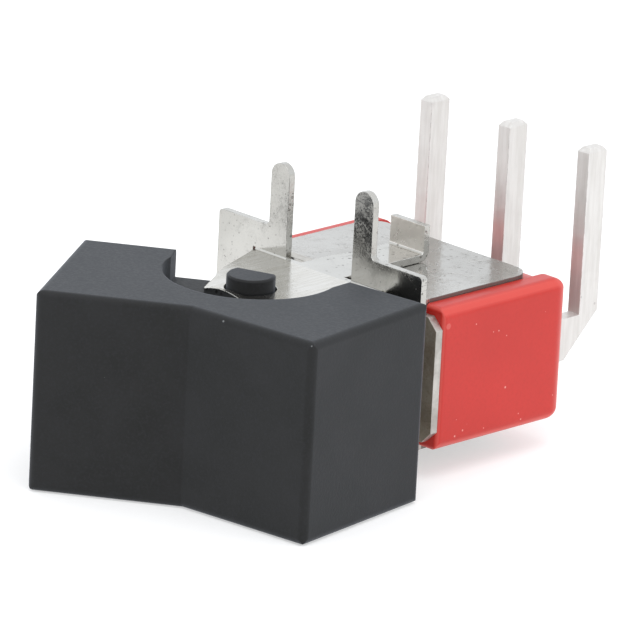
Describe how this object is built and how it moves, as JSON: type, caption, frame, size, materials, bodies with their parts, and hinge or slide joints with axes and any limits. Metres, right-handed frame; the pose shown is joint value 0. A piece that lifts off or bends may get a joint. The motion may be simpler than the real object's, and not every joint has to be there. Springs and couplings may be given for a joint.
{
  "type": "rocker switch",
  "caption": "Right-angle board-mount miniature rocker switch with a hollow V-faced cap, metal frame and pronged support bracket that carries the cap on two ears.",
  "frame": {"origin": "on the common terminal's leg, at the height of the board's underside", "axes": "+X along the terminal row to the right seen from the rocker, +Y from the rocker towards the terminals, +Z out of the switch towards the board, along the terminals"},
  "size_m": [0.0174, 0.0272, 0.0138],
  "materials": {
    "case_plastic": "semi-gloss moulded red",
    "inner_plastic": "plain moulded black",
    "resin": "cast resin",
    "frame_steel": "bright tinned sheet with fine scratches",
    "bracket_steel": "bright tinned sheet",
    "terminal_metal": "satin silver-plated copper alloy",
    "contact_silver": "bright silver",
    "copper_alloy": "bright copper alloy",
    "rocker_plastic": "fine-textured charcoal",
    "lever_metal": "nickel-plated turned brass",
    "plunger_plastic": "natural acetal",
    "spring_steel": "bright spring wire"
  },
  "bodies": {
    "switch_body": {"case": "case_plastic", "pivot_insert": "inner_plastic", "terminal_seal": "resin", "frame": "frame_steel", "support_bracket": "bracket_steel", "left_terminal": "terminal_metal", "common_terminal": "terminal_metal", "right_terminal": "terminal_metal", "left_contact": "contact_silver", "right_contact": "contact_silver", "fulcrum_saddle": "copper_alloy"},
    "rocker": {"rocker": "rocker_plastic"},
    "lever": {"lever": "lever_metal", "spring": "spring_steel"},
    "plunger": {"plunger": "plunger_plastic"},
    "blade": {"contact_blade": "copper_alloy", "blade_contact_left": "contact_silver", "blade_contact_right": "contact_silver"}
  },
  "joints": [
    {"name": "rocker_pivot", "type": "hinge", "parent": "switch_body", "child": "rocker", "pos_m": [0, -0.01686, -0.00536], "axis": [0, 0, 1], "range_deg": [-40, 0]},
    {"name": "lever_ball", "type": "hinge", "parent": "switch_body", "child": "lever", "pos_m": [0, -0.0098, -0.00536], "axis": [0, 0, 1], "range_deg": [0, 26.6]},
    {"name": "blade_fulcrum", "type": "hinge", "parent": "switch_body", "child": "blade", "pos_m": [0, -0.00575, -0.00536], "axis": [0, 0, 1], "range_deg": [-10, 0]},
    {"name": "plunger_slide", "type": "slide", "parent": "lever", "child": "plunger", "axis": [0.2297, 0.9732, 0], "range_m": [0, 0.00012], "stiffness_N_per_m": 300, "springref_m": 0.003, "deforming": ["spring"]}
  ],
  "couplings": [
    {"joint": "lever_ball", "follows": "rocker_pivot", "ratio": -0.6641},
    {"joint": "blade_fulcrum", "follows": "rocker_pivot", "ratio": 0.25}
  ]
}
